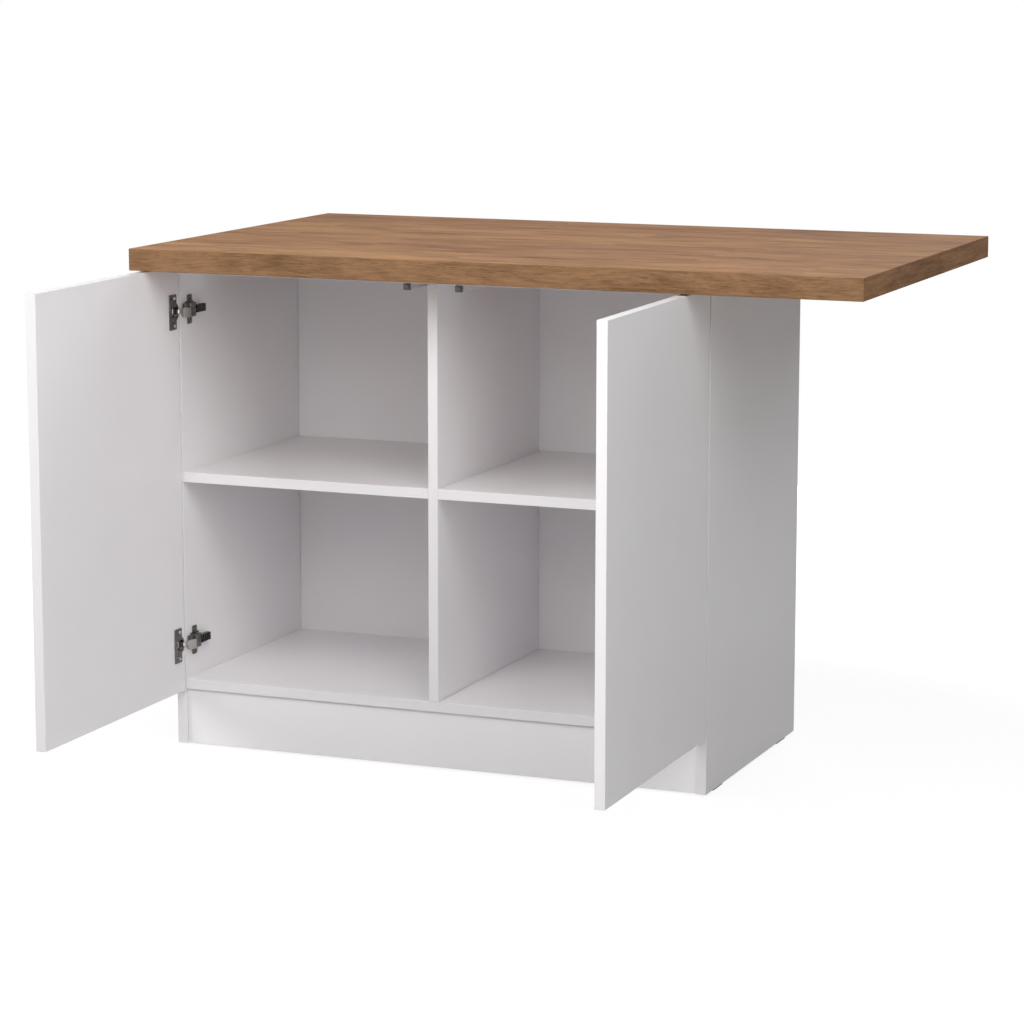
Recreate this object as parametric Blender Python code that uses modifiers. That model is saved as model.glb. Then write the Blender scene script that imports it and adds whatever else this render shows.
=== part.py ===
"""Kitchen island: a two-door cabinet under an overhanging block worktop, doors open at a right angle.

Metres, +Z up. Pieces are placed in the cabinet's own coordinates, whose zero is the left, front, floor
corner of the carcass: X runs right along the front, Y runs to the back. One empty then carries everything,
so that the middle of the standing, opened island lies over the world origin.
"""

import math

import bmesh
import bpy
from mathutils import Vector

# Fits
SEAT_GAP = 0.0003
RUN_GAP = 0.0005

# Carcass
CABINET_WIDTH = 1.000
CABINET_DEPTH = 0.500
CARCASS_TOP = 0.865
PANEL = 0.018
BACK_THICKNESS = 0.016
BACK_INSET = 0.008
BASE_UNDERSIDE = 0.103
SHELF_UNDERSIDE = 0.478
PLINTH_THICKNESS = 0.016
PLINTH_RECESS = 0.005
RAIL_THICKNESS = 0.016
RAIL_DEPTH = 0.100
PANEL_EDGE = 0.0007

# Worktop
TOP_LENGTH = 1.307
TOP_DEPTH = 0.805
TOP_THICKNESS = 0.038
TOP_LEFT_OVERHANG = 0.0095
TOP_FRONT_OVERHANG = 0.135
TOP_EDGE = 0.0012
TOP_SCREW_INSET = 0.120
TOP_SCREW_BITE = 0.022

# Glides under the side panels
GLIDE_THICKNESS = 0.003
GLIDE_WIDTH = 0.014
GLIDE_LENGTH = 0.053
GLIDE_INSET = 0.045

# Doors
DOOR_THICKNESS = 0.018
DOOR_BOTTOM = 0.101
DOOR_TOP_GAP = 0.003
DOOR_REVEAL = 0.0015
DOOR_CLOSED_GAP = 0.003
DOOR_OPEN_GAP = 0.005
RIGHT_DOOR_PAST_SQUARE = math.radians(0.5)

# Hinge heights on the door and the cup in its inner face
HINGE_TOP_INSET = 0.079
HINGE_BOTTOM_INSET = 0.086
CUP_RADIUS = 0.0172
CUP_EDGE_DISTANCE = 0.0033
CUP_WALL = 0.0009
CUP_RIM = 0.001
CUP_SLOT_WIDTH = 0.013
CUP_PIN_SEAT = 0.003
FLANGE_LENGTH = 0.062
FLANGE_WIDTH = 0.026
FLANGE_SHIFT = 0.0045
FLANGE_THICKNESS = 0.0016
CUP_SCREW_PITCH = 0.048

# Hinge pin and arm
PIN_RADIUS = 0.001
EYE_RADIUS = 0.002
EYE_WIDTH = 0.007
NECK_THICKNESS = 0.0018
NECK_DROP = 0.0013
NECK_STANDOFF = 0.0027
NECK_WIDTH = 0.0031
NECK_BEND = 0.0025
ARM_WIDTH = 0.016
ARM_THICKNESS = 0.0064
ARM_FRONT = 0.008
ARM_REAR = 0.075

# Hinge mounting plate on the side panel
PLATE_SETBACK = 0.032
PLATE_HEIGHT = 0.052
PLATE_WIDTH = 0.016
PLATE_THICKNESS = 0.002
PLATE_SCREW_PITCH = 0.042
SADDLE_THICKNESS = 0.006
SADDLE_FRONT = 0.020
SADDLE_REAR = 0.066
SADDLE_WIDTH = 0.012

# Screws
SMALL_HEAD_RADIUS = 0.0034
SMALL_HEAD_HEIGHT = 0.0015
SMALL_SHANK_RADIUS = 0.0016
SMALL_BITE = 0.011
TOP_HEAD_RADIUS = 0.0045
TOP_HEAD_HEIGHT = 0.003
TOP_SHANK_RADIUS = 0.0022
SCREW_TIP = 0.003
HEAD_CROWN_SHARE = 0.6
HEAD_SKIRT_SHARE = 0.45

# Push latches
LATCH_OFFSET = 0.048
LATCH_WIDTH = 0.014
LATCH_HEIGHT = 0.012
LATCH_LENGTH = 0.080
LATCH_FRONT = 0.002
LATCH_EDGE = 0.001
PLUNGER_RADIUS = 0.0036
PLUNGER_LENGTH = 0.045
PLUNGER_HEAD_RADIUS = 0.0048
PLUNGER_HEAD_LENGTH = 0.0035
PLUNGER_STROKE = 0.003

# Facets of round pieces
ROUND_STEPS = 16
CUP_STEPS = 32
SCREW_STEPS = 12
SMOOTH_ANGLE = math.radians(40)
EDGE_SEGMENTS = 2
CUT_THROUGH = 0.001
MERGE = 0.00001

# Worked out from the sizes above
DOOR_WIDTH = CABINET_WIDTH / 2 - 2 * DOOR_REVEAL
DOOR_TOP = CARCASS_TOP - DOOR_TOP_GAP
CARCASS_FOOT = GLIDE_THICKNESS + SEAT_GAP
PANEL_TOP = CARCASS_TOP - SEAT_GAP
RAIL_UNDERSIDE = PANEL_TOP - RAIL_THICKNESS
BACK_FACE = CABINET_DEPTH - BACK_INSET - BACK_THICKNESS
# The pin turns the door from closed to a right angle with its outer face flush with the side panel's
PIVOT_X = (DOOR_CLOSED_GAP + DOOR_THICKNESS + DOOR_REVEAL - DOOR_OPEN_GAP) / 2
PIVOT_Y = (DOOR_REVEAL - DOOR_OPEN_GAP - DOOR_CLOSED_GAP - DOOR_THICKNESS) / 2
FACE_FROM_PIN = DOOR_THICKNESS - PIVOT_X
CUP_HOLE_RADIUS = CUP_RADIUS + SEAT_GAP
CUP_FROM_PIN = DOOR_OPEN_GAP + CUP_EDGE_DISTANCE + CUP_HOLE_RADIUS + PIVOT_Y
CUP_FLOOR = -EYE_RADIUS - RUN_GAP
HINGE_HEIGHTS = {"upper": DOOR_TOP - HINGE_TOP_INSET, "lower": DOOR_BOTTOM + HINGE_BOTTOM_INSET}
SIDES = ("left", "right")
UP = Vector((0, 0, 1))


def clear_scene():
    """Remove whatever the scene holds."""
    for thing in list(bpy.data.objects):
        bpy.data.objects.remove(thing, do_unlink=True)


def make_collection(name):
    """Add a collection to the scene."""
    collection = bpy.data.collections.new(name)
    bpy.context.scene.collection.children.link(collection)
    return collection


def make_material(name, colour, roughness, metallic=0.0):
    """Add a plain Principled material; the colour is linear RGB."""
    material = bpy.data.materials.new(name)
    material.use_nodes = True
    shader = material.node_tree.nodes["Principled BSDF"]
    shader.inputs["Base Color"].default_value = (*colour, 1.0)
    shader.inputs["Roughness"].default_value = roughness
    shader.inputs["Metallic"].default_value = metallic
    return material


clear_scene()
PARTS = make_collection("kitchen_island")
CUTTERS = make_collection("cutters")
LAMINATE = make_material("white_gloss_laminate", (0.80, 0.80, 0.80), 0.12)
BLOCK = make_material("brown_oak_block", (0.17, 0.10, 0.06), 0.45)
NICKEL = make_material("nickel_plated_steel", (0.50, 0.49, 0.47), 0.30, 1.0)
ZINC = make_material("zinc_plated_steel", (0.55, 0.55, 0.56), 0.35, 1.0)
GREY_PLASTIC = make_material("grey_plastic", (0.30, 0.30, 0.31), 0.50)
DARK_PLASTIC = make_material("black_plastic", (0.02, 0.02, 0.02), 0.55)


def add_empty(name, place, parent=None):
    """Add an empty that carries pieces; its place is in its parent's coordinates."""
    empty = bpy.data.objects.new(name, None)
    PARTS.objects.link(empty)
    empty.parent = parent
    empty.location = place
    return empty


def island_middle():
    """The middle of the opened island's plan, in cabinet coordinates."""
    back_reach = TOP_DEPTH - TOP_FRONT_OVERHANG
    front_reach = max(DOOR_OPEN_GAP + DOOR_WIDTH, TOP_FRONT_OVERHANG)
    return Vector((TOP_LENGTH / 2 - TOP_LEFT_OVERHANG, (back_reach - front_reach) / 2, 0))


ISLAND = add_empty("island_frame", -island_middle())


def side_x(side, x):
    """X of a point given from the left; on the right side it is mirrored."""
    return x if side == "left" else CABINET_WIDTH - x


def into_cabinet(side):
    """Unit step that points from a side panel into the cabinet."""
    return Vector((1, 0, 0)) if side == "left" else Vector((-1, 0, 0))


PIVOTS = {
    side: add_empty(side + "_door_pivot", (side_x(side, PIVOT_X), PIVOT_Y, 0), ISLAND) for side in SIDES
}
# The right door stands a little further open than the left one
PIVOTS["right"].rotation_euler.z = RIGHT_DOOR_PAST_SQUARE


def add_object(name, mesh, place, material=None, parent=ISLAND):
    """Add a piece, or a cutter where there is no material; place is in cabinet coordinates."""
    piece = bpy.data.objects.new(name, mesh)
    (PARTS if material else CUTTERS).objects.link(piece)
    piece.parent = parent
    piece.location = Vector(place) - (parent.location if parent is not ISLAND else Vector())
    if material:
        mesh.materials.clear()
        mesh.materials.append(material)
    else:
        piece.hide_render = True
        piece.display_type = "WIRE"
    return piece


def add_box(name, low, high, material=None, parent=ISLAND, edge=0.0):
    """Add a box between two corners, with its edges rounded by a Bevel where asked."""
    low, high = Vector(low), Vector(high)
    form = bmesh.new()
    bmesh.ops.create_cube(form, size=1.0)
    bmesh.ops.scale(form, vec=high - low, verts=form.verts)
    mesh = bpy.data.meshes.new(name)
    form.to_mesh(mesh)
    form.free()
    piece = add_object(name, mesh, (low + high) / 2, material, parent)
    if edge:
        bevel = piece.modifiers.new("edge", "BEVEL")
        bevel.width = edge
        bevel.segments = EDGE_SEGMENTS
    return piece


def add_cylinder(name, start, direction, length, radius, material=None, parent=ISLAND, steps=ROUND_STEPS):
    """Add a cylinder from its start, along a direction."""
    direction = Vector(direction).normalized()
    form = bmesh.new()
    bmesh.ops.create_cone(form, cap_ends=True, segments=steps, radius1=radius, radius2=radius, depth=length)
    bmesh.ops.translate(form, vec=UP * length / 2, verts=form.verts)
    mesh = bpy.data.meshes.new(name)
    form.to_mesh(mesh)
    form.free()
    mesh.shade_smooth()
    mesh.set_sharp_from_angle(angle=SMOOTH_ANGLE)
    piece = add_object(name, mesh, start, material, parent)
    piece.rotation_mode = "QUATERNION"
    piece.rotation_quaternion = UP.rotation_difference(direction)
    return piece


def add_turned(name, profile, start, direction, material, parent=ISLAND, steps=SCREW_STEPS):
    """Add a turned piece; the profile holds (radius, height) pairs from its top down to its tip."""
    form = bmesh.new()
    ring = [form.verts.new((radius, 0, height)) for radius, height in profile]
    for upper, lower in zip(ring, ring[1:]):
        form.edges.new((upper, lower))
    mesh = bpy.data.meshes.new(name)
    form.to_mesh(mesh)
    form.free()
    piece = add_object(name, mesh, start, material, parent)
    screw = piece.modifiers.new("turn", "SCREW")
    screw.steps = steps
    screw.render_steps = steps
    screw.use_merge_vertices = True
    screw.merge_threshold = MERGE
    piece.rotation_mode = "QUATERNION"
    piece.rotation_quaternion = UP.rotation_difference(Vector(direction).normalized())
    return piece


def add_prism(name, outline, bottom, top, material=None, parent=ISLAND):
    """Add an upright prism on a plan outline: a filled 2D curve made into a mesh, with welded caps."""
    curve = bpy.data.curves.new(name, "CURVE")
    curve.dimensions = "2D"
    curve.fill_mode = "BOTH"
    curve.extrude = (top - bottom) / 2
    spline = curve.splines.new("POLY")
    spline.points.add(len(outline) - 1)
    for point, (x, y) in zip(spline.points, outline):
        point.co = (x, y, 0, 1)
    spline.use_cyclic_u = True
    source = bpy.data.objects.new(name + "_outline", curve)
    CUTTERS.objects.link(source)
    evaluated = source.evaluated_get(bpy.context.evaluated_depsgraph_get())
    mesh = bpy.data.meshes.new_from_object(evaluated)
    bpy.data.objects.remove(source)
    form = bmesh.new()
    form.from_mesh(mesh)
    bmesh.ops.remove_doubles(form, verts=form.verts, dist=MERGE)
    bmesh.ops.recalc_face_normals(form, faces=form.faces)
    form.to_mesh(mesh)
    form.free()
    return add_object(name, mesh, (0, 0, (bottom + top) / 2), material, parent)


def combine(piece, other, operation):
    """Join a helper shape to a piece, or cut it away."""
    boolean = piece.modifiers.new(operation.lower(), "BOOLEAN")
    boolean.operation = operation
    boolean.solver = "EXACT"
    boolean.object = other


def cut(piece, *cutters):
    """Cut helper shapes out of a piece."""
    for cutter in cutters:
        combine(piece, cutter, "DIFFERENCE")


def join(piece, *others):
    """Fuse helper shapes to a piece."""
    for other in others:
        combine(piece, other, "UNION")


def screw_profile(head_radius, head_height, shank_radius, length):
    """Profile of a pan-head screw whose head rests at height zero."""
    return [
        (0, head_height),
        (head_radius * HEAD_CROWN_SHARE, head_height),
        (head_radius, head_height * HEAD_SKIRT_SHARE),
        (head_radius, 0),
        (shank_radius, 0),
        (shank_radius, SCREW_TIP - length),
        (0, -length),
    ]


def add_screw_hole(name, piece, start, direction, length, radius, parent=ISLAND):
    """Cut a round hole for a screw's shank, a seat gap wider and deeper than the shank."""
    direction = Vector(direction).normalized()
    mouth = Vector(start) - direction * CUT_THROUGH
    depth = length + CUT_THROUGH + SEAT_GAP
    cutter = add_cylinder(name, mouth, direction, depth, radius + SEAT_GAP, None, parent, SCREW_STEPS)
    cut(piece, cutter)


def build_side_panel(side):
    """One side panel, from the glides to the worktop."""
    outer, inner = sorted((side_x(side, 0), side_x(side, PANEL)))
    low, high = (outer, 0, CARCASS_FOOT), (inner, CABINET_DEPTH, PANEL_TOP)
    return add_box(side + "_side_panel", low, high, LAMINATE, edge=PANEL_EDGE)


def build_glides(side):
    """The two black pads that a side panel stands on, centred under its thickness."""
    middle = side_x(side, PANEL / 2)
    rear = CABINET_DEPTH - GLIDE_INSET - GLIDE_LENGTH
    for place, front in (("front", GLIDE_INSET), ("rear", rear)):
        low = (middle - GLIDE_WIDTH / 2, front, 0)
        high = (middle + GLIDE_WIDTH / 2, front + GLIDE_LENGTH, GLIDE_THICKNESS)
        add_box(f"{side}_{place}_glide", low, high, DARK_PLASTIC)


def build_inner_panels():
    """Base panel, divider, shelves, plinth and back panel, each a seat gap from what it meets."""
    left = PANEL + SEAT_GAP
    right = CABINET_WIDTH - PANEL - SEAT_GAP
    back = BACK_FACE - SEAT_GAP
    base_top = BASE_UNDERSIDE + PANEL
    divider_left = CABINET_WIDTH / 2 - PANEL / 2
    divider_right = CABINET_WIDTH / 2 + PANEL / 2
    add_box("base_panel", (left, 0, BASE_UNDERSIDE), (right, back, base_top), LAMINATE, edge=PANEL_EDGE)
    low = (divider_left, 0, base_top + SEAT_GAP)
    high = (divider_right, back, RAIL_UNDERSIDE - SEAT_GAP)
    add_box("centre_divider", low, high, LAMINATE, edge=PANEL_EDGE)
    shelf_top = SHELF_UNDERSIDE + PANEL
    for side, start, end in (
        ("left", left, divider_left - SEAT_GAP),
        ("right", divider_right + SEAT_GAP, right),
    ):
        low, high = (start, 0, SHELF_UNDERSIDE), (end, back, shelf_top)
        add_box(side + "_shelf", low, high, LAMINATE, edge=PANEL_EDGE)
    low = (left, PLINTH_RECESS, CARCASS_FOOT)
    high = (right, PLINTH_RECESS + PLINTH_THICKNESS, BASE_UNDERSIDE - SEAT_GAP)
    add_box("front_plinth", low, high, LAMINATE, edge=PANEL_EDGE)
    low = (left, BACK_FACE, CARCASS_FOOT)
    high = (right, BACK_FACE + BACK_THICKNESS, PANEL_TOP)
    add_box("back_panel", low, high, LAMINATE, edge=PANEL_EDGE)


def build_top():
    """Worktop and the two rails under it, with the screws that hold it down."""
    low = (-TOP_LEFT_OVERHANG, -TOP_FRONT_OVERHANG, CARCASS_TOP)
    high = (TOP_LENGTH - TOP_LEFT_OVERHANG, TOP_DEPTH - TOP_FRONT_OVERHANG, CARCASS_TOP + TOP_THICKNESS)
    worktop = add_box("worktop", low, high, BLOCK, edge=TOP_EDGE)
    left = PANEL + SEAT_GAP
    right = CABINET_WIDTH - PANEL - SEAT_GAP
    rear_end = BACK_FACE - SEAT_GAP
    length = SEAT_GAP + RAIL_THICKNESS + SEAT_GAP + TOP_SCREW_BITE
    profile = screw_profile(TOP_HEAD_RADIUS, TOP_HEAD_HEIGHT, TOP_SHANK_RADIUS, length)
    for place, start, end in (("front", 0, RAIL_DEPTH), ("rear", rear_end - RAIL_DEPTH, rear_end)):
        low, high = (left, start, RAIL_UNDERSIDE), (right, end, PANEL_TOP)
        rail = add_box(place + "_top_rail", low, high, LAMINATE, edge=PANEL_EDGE)
        for side in SIDES:
            name = f"{place}_{side}_worktop_screw"
            seat = (side_x(side, PANEL + TOP_SCREW_INSET), (start + end) / 2, RAIL_UNDERSIDE - SEAT_GAP)
            add_turned(name, profile, seat, -UP, ZINC)
            add_screw_hole(name + "_rail_hole", rail, seat, UP, length, TOP_SHANK_RADIUS)
            add_screw_hole(name + "_top_hole", worktop, seat, UP, length, TOP_SHANK_RADIUS)


def build_door(side):
    """One door slab, standing open at a right angle with its outer face flush with the side panel."""
    outer, inner = sorted((side_x(side, 0), side_x(side, DOOR_THICKNESS)))
    low = (outer, -DOOR_OPEN_GAP - DOOR_WIDTH, DOOR_BOTTOM)
    high = (inner, -DOOR_OPEN_GAP, DOOR_TOP)
    return add_box(side + "_door", low, high, LAMINATE, PIVOTS[side], PANEL_EDGE)


def from_pin(side, across, along, height):
    """A point given from the hinge pin: across the door's thickness towards the cabinet, and along -Y."""
    return Vector((side_x(side, PIVOT_X + across), PIVOT_Y - along, height))


def build_cup(name, side, height, door):
    """Cup and flange in the door's inner face, with the slot that the arm swings in."""
    pivot, inward = PIVOTS[side], into_cabinet(side)
    bottom = CUP_FLOOR - CUP_WALL
    rim = FACE_FROM_PIN + CUP_RIM
    start = from_pin(side, bottom, CUP_FROM_PIN, height)
    cup = add_cylinder(name + "_cup", start, inward, rim - bottom, CUP_RADIUS, NICKEL, pivot, CUP_STEPS)
    seat = FACE_FROM_PIN + SEAT_GAP
    flange = CUP_FROM_PIN + FLANGE_SHIFT
    corners = (
        from_pin(side, seat, flange - FLANGE_WIDTH / 2, height - FLANGE_LENGTH / 2),
        from_pin(side, seat + FLANGE_THICKNESS, flange + FLANGE_WIDTH / 2, height + FLANGE_LENGTH / 2),
    )
    low = [min(pair) for pair in zip(*corners)]
    high = [max(pair) for pair in zip(*corners)]
    join(cup, add_box(name + "_flange", low, high, parent=pivot))
    start = from_pin(side, CUP_FLOOR, CUP_FROM_PIN, height)
    depth = FACE_FROM_PIN + FLANGE_THICKNESS + CUP_RIM - CUP_FLOOR
    radius = CUP_RADIUS - CUP_WALL
    slot = add_cylinder(name + "_slot", start, inward, depth, radius, parent=pivot, steps=CUP_STEPS)
    reach = Vector((depth, radius, CUP_SLOT_WIDTH / 2))
    middle = start + inward * depth / 2
    limit = add_box(name + "_slot_limit", middle - reach, middle + reach, parent=pivot)
    combine(slot, limit, "INTERSECT")
    cut(cup, slot)
    start = from_pin(side, bottom - SEAT_GAP, CUP_FROM_PIN, height)
    depth = FACE_FROM_PIN - bottom + SEAT_GAP + CUT_THROUGH
    cut(door, add_cylinder(name + "_pocket", start, inward, depth, CUP_HOLE_RADIUS, None, pivot, CUP_STEPS))
    return cup


def build_pin(name, side, height, cup):
    """The pin in the cup's slot, on the door's axis."""
    length = CUP_SLOT_WIDTH + 2 * CUP_PIN_SEAT
    start = from_pin(side, 0, 0, height - length / 2)
    add_cylinder(name + "_pin", start, UP, length, PIN_RADIUS, NICKEL, PIVOTS[side])
    start -= UP * SEAT_GAP
    length += 2 * SEAT_GAP
    cut(cup, add_cylinder(name + "_cup_bore", start, UP, length, PIN_RADIUS + SEAT_GAP, parent=PIVOTS[side]))


def build_cup_screws(name, side, height, cup, door):
    """The two screws through the flange into the door."""
    inward = into_cabinet(side)
    seat_across = FACE_FROM_PIN + SEAT_GAP + FLANGE_THICKNESS + SEAT_GAP
    length = seat_across - FACE_FROM_PIN + SMALL_BITE
    profile = screw_profile(SMALL_HEAD_RADIUS, SMALL_HEAD_HEIGHT, SMALL_SHANK_RADIUS, length)
    for place, step in (("top", 1), ("bottom", -1)):
        seat = from_pin(side, seat_across, CUP_FROM_PIN, height + step * CUP_SCREW_PITCH / 2)
        label = f"{name}_cup_{place}_screw"
        add_turned(label, profile, seat, inward, ZINC, PIVOTS[side])
        for piece in (cup, door):
            hole = f"{label}_{piece.name}_hole"
            add_screw_hole(hole, piece, seat, -inward, length, SMALL_SHANK_RADIUS, PIVOTS[side])


def arm_faces():
    """Distances from the side panel's outer face to the neck's and the arm body's two faces."""
    neck = max(PANEL, DOOR_THICKNESS) + NECK_STANDOFF
    body = PANEL + SEAT_GAP + SADDLE_THICKNESS + SEAT_GAP
    return neck, neck + NECK_WIDTH, body, body + ARM_THICKNESS


def build_arm(name, side, height):
    """The arm: an eye on the pin, a neck that leaves the cup and a body on the mounting plate."""
    neck_in, neck_out, body_in, body_out = arm_faces()
    lower = PIVOT_Y - NECK_DROP
    upper = lower + NECK_THICKNESS
    shoulder = SADDLE_FRONT - SEAT_GAP
    outline = [
        (PIVOT_X, lower),
        (neck_out - NECK_BEND, lower),
        (neck_out, lower + NECK_BEND),
        (neck_out, 0),
        (body_out, ARM_FRONT),
        (body_out, shoulder),
        (body_in, shoulder),
        (neck_in, ARM_FRONT),
        (neck_in, upper + NECK_BEND / 2),
        (neck_in - NECK_BEND / 2, upper),
        (PIVOT_X, upper),
    ]
    outline = [(side_x(side, x), y) for x, y in outline]
    arm = add_prism(name + "_arm", outline, height - EYE_WIDTH / 2, height + EYE_WIDTH / 2, NICKEL)
    start = from_pin(side, 0, 0, height - EYE_WIDTH / 2)
    eye = add_cylinder(name + "_eye", start, UP, EYE_WIDTH, EYE_RADIUS)
    near, far = sorted((side_x(side, body_in), side_x(side, body_out)))
    low = (near, ARM_FRONT, height - ARM_WIDTH / 2)
    body = add_box(name + "_arm_body", low, (far, ARM_REAR, height + ARM_WIDTH / 2))
    join(arm, eye, body)
    start -= UP * CUT_THROUGH
    length = EYE_WIDTH + 2 * CUT_THROUGH
    cut(arm, add_cylinder(name + "_arm_bore", start, UP, length, PIN_RADIUS + SEAT_GAP))


def build_plate(name, side, height, panel):
    """The winged mounting plate and its two screws into the side panel."""
    inner = PANEL + SEAT_GAP
    near, far = sorted((side_x(side, inner), side_x(side, inner + PLATE_THICKNESS)))
    low = (near, PLATE_SETBACK - PLATE_WIDTH / 2, height - PLATE_HEIGHT / 2)
    high = (far, PLATE_SETBACK + PLATE_WIDTH / 2, height + PLATE_HEIGHT / 2)
    plate = add_box(name + "_plate", low, high, NICKEL)
    near, far = sorted((side_x(side, inner), side_x(side, inner + SADDLE_THICKNESS)))
    low = (near, SADDLE_FRONT, height - SADDLE_WIDTH / 2)
    high = (far, SADDLE_REAR, height + SADDLE_WIDTH / 2)
    join(plate, add_box(name + "_saddle", low, high))
    inward = into_cabinet(side)
    seat_across = inner + PLATE_THICKNESS + SEAT_GAP
    length = seat_across - PANEL + SMALL_BITE
    profile = screw_profile(SMALL_HEAD_RADIUS, SMALL_HEAD_HEIGHT, SMALL_SHANK_RADIUS, length)
    for place, step in (("top", 1), ("bottom", -1)):
        seat = Vector((side_x(side, seat_across), PLATE_SETBACK, height + step * PLATE_SCREW_PITCH / 2))
        label = f"{name}_plate_{place}_screw"
        add_turned(label, profile, seat, inward, ZINC)
        for piece in (plate, panel):
            add_screw_hole(f"{label}_{piece.name}_hole", piece, seat, -inward, length, SMALL_SHANK_RADIUS)


def build_hinges(side, door, panel):
    """Both hinges of one door."""
    for place, height in HINGE_HEIGHTS.items():
        name = f"{side}_{place}_hinge"
        cup = build_cup(name, side, height, door)
        build_pin(name, side, height, cup)
        build_cup_screws(name, side, height, cup, door)
        build_arm(name, side, height)
        build_plate(name, side, height, panel)


def build_latch(side):
    """A push latch under the front rail: a housing and the sprung plunger in its bore."""
    middle = CABINET_WIDTH / 2 + (-LATCH_OFFSET if side == "left" else LATCH_OFFSET)
    top = RAIL_UNDERSIDE - SEAT_GAP
    axis_height = top - LATCH_HEIGHT / 2
    low = (middle - LATCH_WIDTH / 2, LATCH_FRONT, top - LATCH_HEIGHT)
    high = (middle + LATCH_WIDTH / 2, LATCH_FRONT + LATCH_LENGTH, top)
    housing = add_box(side + "_latch_housing", low, high, GREY_PLASTIC, edge=LATCH_EDGE)
    tip = RUN_GAP - DOOR_CLOSED_GAP
    back = Vector((0, 1, 0))
    mouth = Vector((middle, LATCH_FRONT - CUT_THROUGH, axis_height))
    head_depth = tip + PLUNGER_HEAD_LENGTH + PLUNGER_STROKE + SEAT_GAP - LATCH_FRONT + CUT_THROUGH
    rod_depth = tip + PLUNGER_LENGTH + PLUNGER_STROKE + SEAT_GAP - LATCH_FRONT + CUT_THROUGH
    bores = (
        add_cylinder(side + "_head_bore", mouth, back, head_depth, PLUNGER_HEAD_RADIUS + SEAT_GAP),
        add_cylinder(side + "_rod_bore", mouth, back, rod_depth, PLUNGER_RADIUS + SEAT_GAP),
    )
    cut(housing, *bores)
    profile = [
        (0, 0),
        (PLUNGER_HEAD_RADIUS, 0),
        (PLUNGER_HEAD_RADIUS, -PLUNGER_HEAD_LENGTH),
        (PLUNGER_RADIUS, -PLUNGER_HEAD_LENGTH),
        (PLUNGER_RADIUS, -PLUNGER_LENGTH),
        (0, -PLUNGER_LENGTH),
    ]
    front = (middle, tip, axis_height)
    add_turned(side + "_latch_plunger", profile, front, -back, DARK_PLASTIC, steps=ROUND_STEPS)


def main():
    """Build the island, side by side."""
    build_top()
    build_inner_panels()
    for side in SIDES:
        panel = build_side_panel(side)
        build_glides(side)
        door = build_door(side)
        build_hinges(side, door, panel)
        build_latch(side)


main()
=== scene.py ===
"""Looks of the kitchen island: its finishes, the detailed hinges, latches and glides, and a white studio.

Metres, +Z up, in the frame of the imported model. Sizes of small parts are written in millimetres times MM.
"""

import logging
import math
from dataclasses import dataclass
from enum import Enum
from functools import partial
from typing import Any, Callable, Iterable, Sequence

import bmesh
import bpy
from mathutils import Matrix, Vector


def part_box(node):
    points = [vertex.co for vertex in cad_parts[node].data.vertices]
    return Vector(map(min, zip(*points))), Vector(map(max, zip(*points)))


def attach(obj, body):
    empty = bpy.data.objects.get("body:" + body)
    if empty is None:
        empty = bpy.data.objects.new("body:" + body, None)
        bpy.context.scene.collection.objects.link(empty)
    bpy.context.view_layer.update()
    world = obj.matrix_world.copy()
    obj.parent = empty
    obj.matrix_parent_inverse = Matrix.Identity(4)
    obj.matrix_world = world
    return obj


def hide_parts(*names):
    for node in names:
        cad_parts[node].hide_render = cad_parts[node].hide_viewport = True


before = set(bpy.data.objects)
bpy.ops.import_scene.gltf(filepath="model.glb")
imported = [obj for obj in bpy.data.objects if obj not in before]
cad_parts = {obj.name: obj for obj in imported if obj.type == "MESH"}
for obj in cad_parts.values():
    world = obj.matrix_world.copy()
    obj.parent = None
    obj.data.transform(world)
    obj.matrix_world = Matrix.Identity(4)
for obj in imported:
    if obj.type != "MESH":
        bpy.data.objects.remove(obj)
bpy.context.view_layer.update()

MM = 0.001
SMOOTH_ANGLE = math.radians(30)
ROUND_STEPS = 48
SMALL_STEPS = 24
CORNER_STEPS = 6

# Gaps that keep the faces of neighbouring pieces, and of forms within a piece, from lying in one plane
PIECE_GAP = 0.05 * MM
FORM_GAP = 0.02 * MM

# A face looks along an axis when its normal has more than this share of it
FACING = 0.7

# Most of a noise lies between these
NOISE_SPAN = {"From Min": 0.3, "From Max": 0.7}

# Rings of a pan head as shares of its radius and height, and its cross recess as shares of the same
PAN_RINGS = ((0.97, 0.0), (1.0, 0.1), (1.0, 0.42), (0.93, 0.68), (0.8, 0.88), (0.62, 1.0))
CROSS_REACH, CROSS_HALF, CROSS_TAPER, CROSS_FLOOR = 0.5, 0.13, 0.7, 0.35

Point2 = tuple[float, float]
Point3 = tuple[float, float, float]
Rectangle = tuple[Point2, Point2, float]
Material = bpy.types.Material
NodeTree = bpy.types.NodeTree
Node = bpy.types.Node
Piece = bpy.types.Object
Verts = Sequence[bmesh.types.BMVert]
Outputs = bpy.types.NodeOutputs
Adder = Callable[..., Outputs]

log = logging.getLogger("kitchen_island")


class Axis(Enum):
    """The direction in which a board is thin."""

    X = "X"
    Y = "Y"
    Z = "Z"


class Side(Enum):
    """A side of the cabinet; the value points from it into the cabinet, along X."""

    LEFT = 1.0
    RIGHT = -1.0

    @property
    def word(self) -> str:
        """The side's name, as the nodes have it."""
        return self.name.lower()


# Drawing axes for outlines that stand upright: (u, v, w) become (Y, Z, X), and (Z, X, Y)
OUT_OF_SIDE = Matrix(((0, 0, 1, 0), (1, 0, 0, 0), (0, 1, 0, 0), (0, 0, 0, 1)))
OUT_OF_FRONT = Matrix(((0, 1, 0, 0), (0, 0, 1, 0), (1, 0, 0, 0), (0, 0, 0, 1)))
DOWNWARD = Matrix.Rotation(math.pi, 4, "X")


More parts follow.
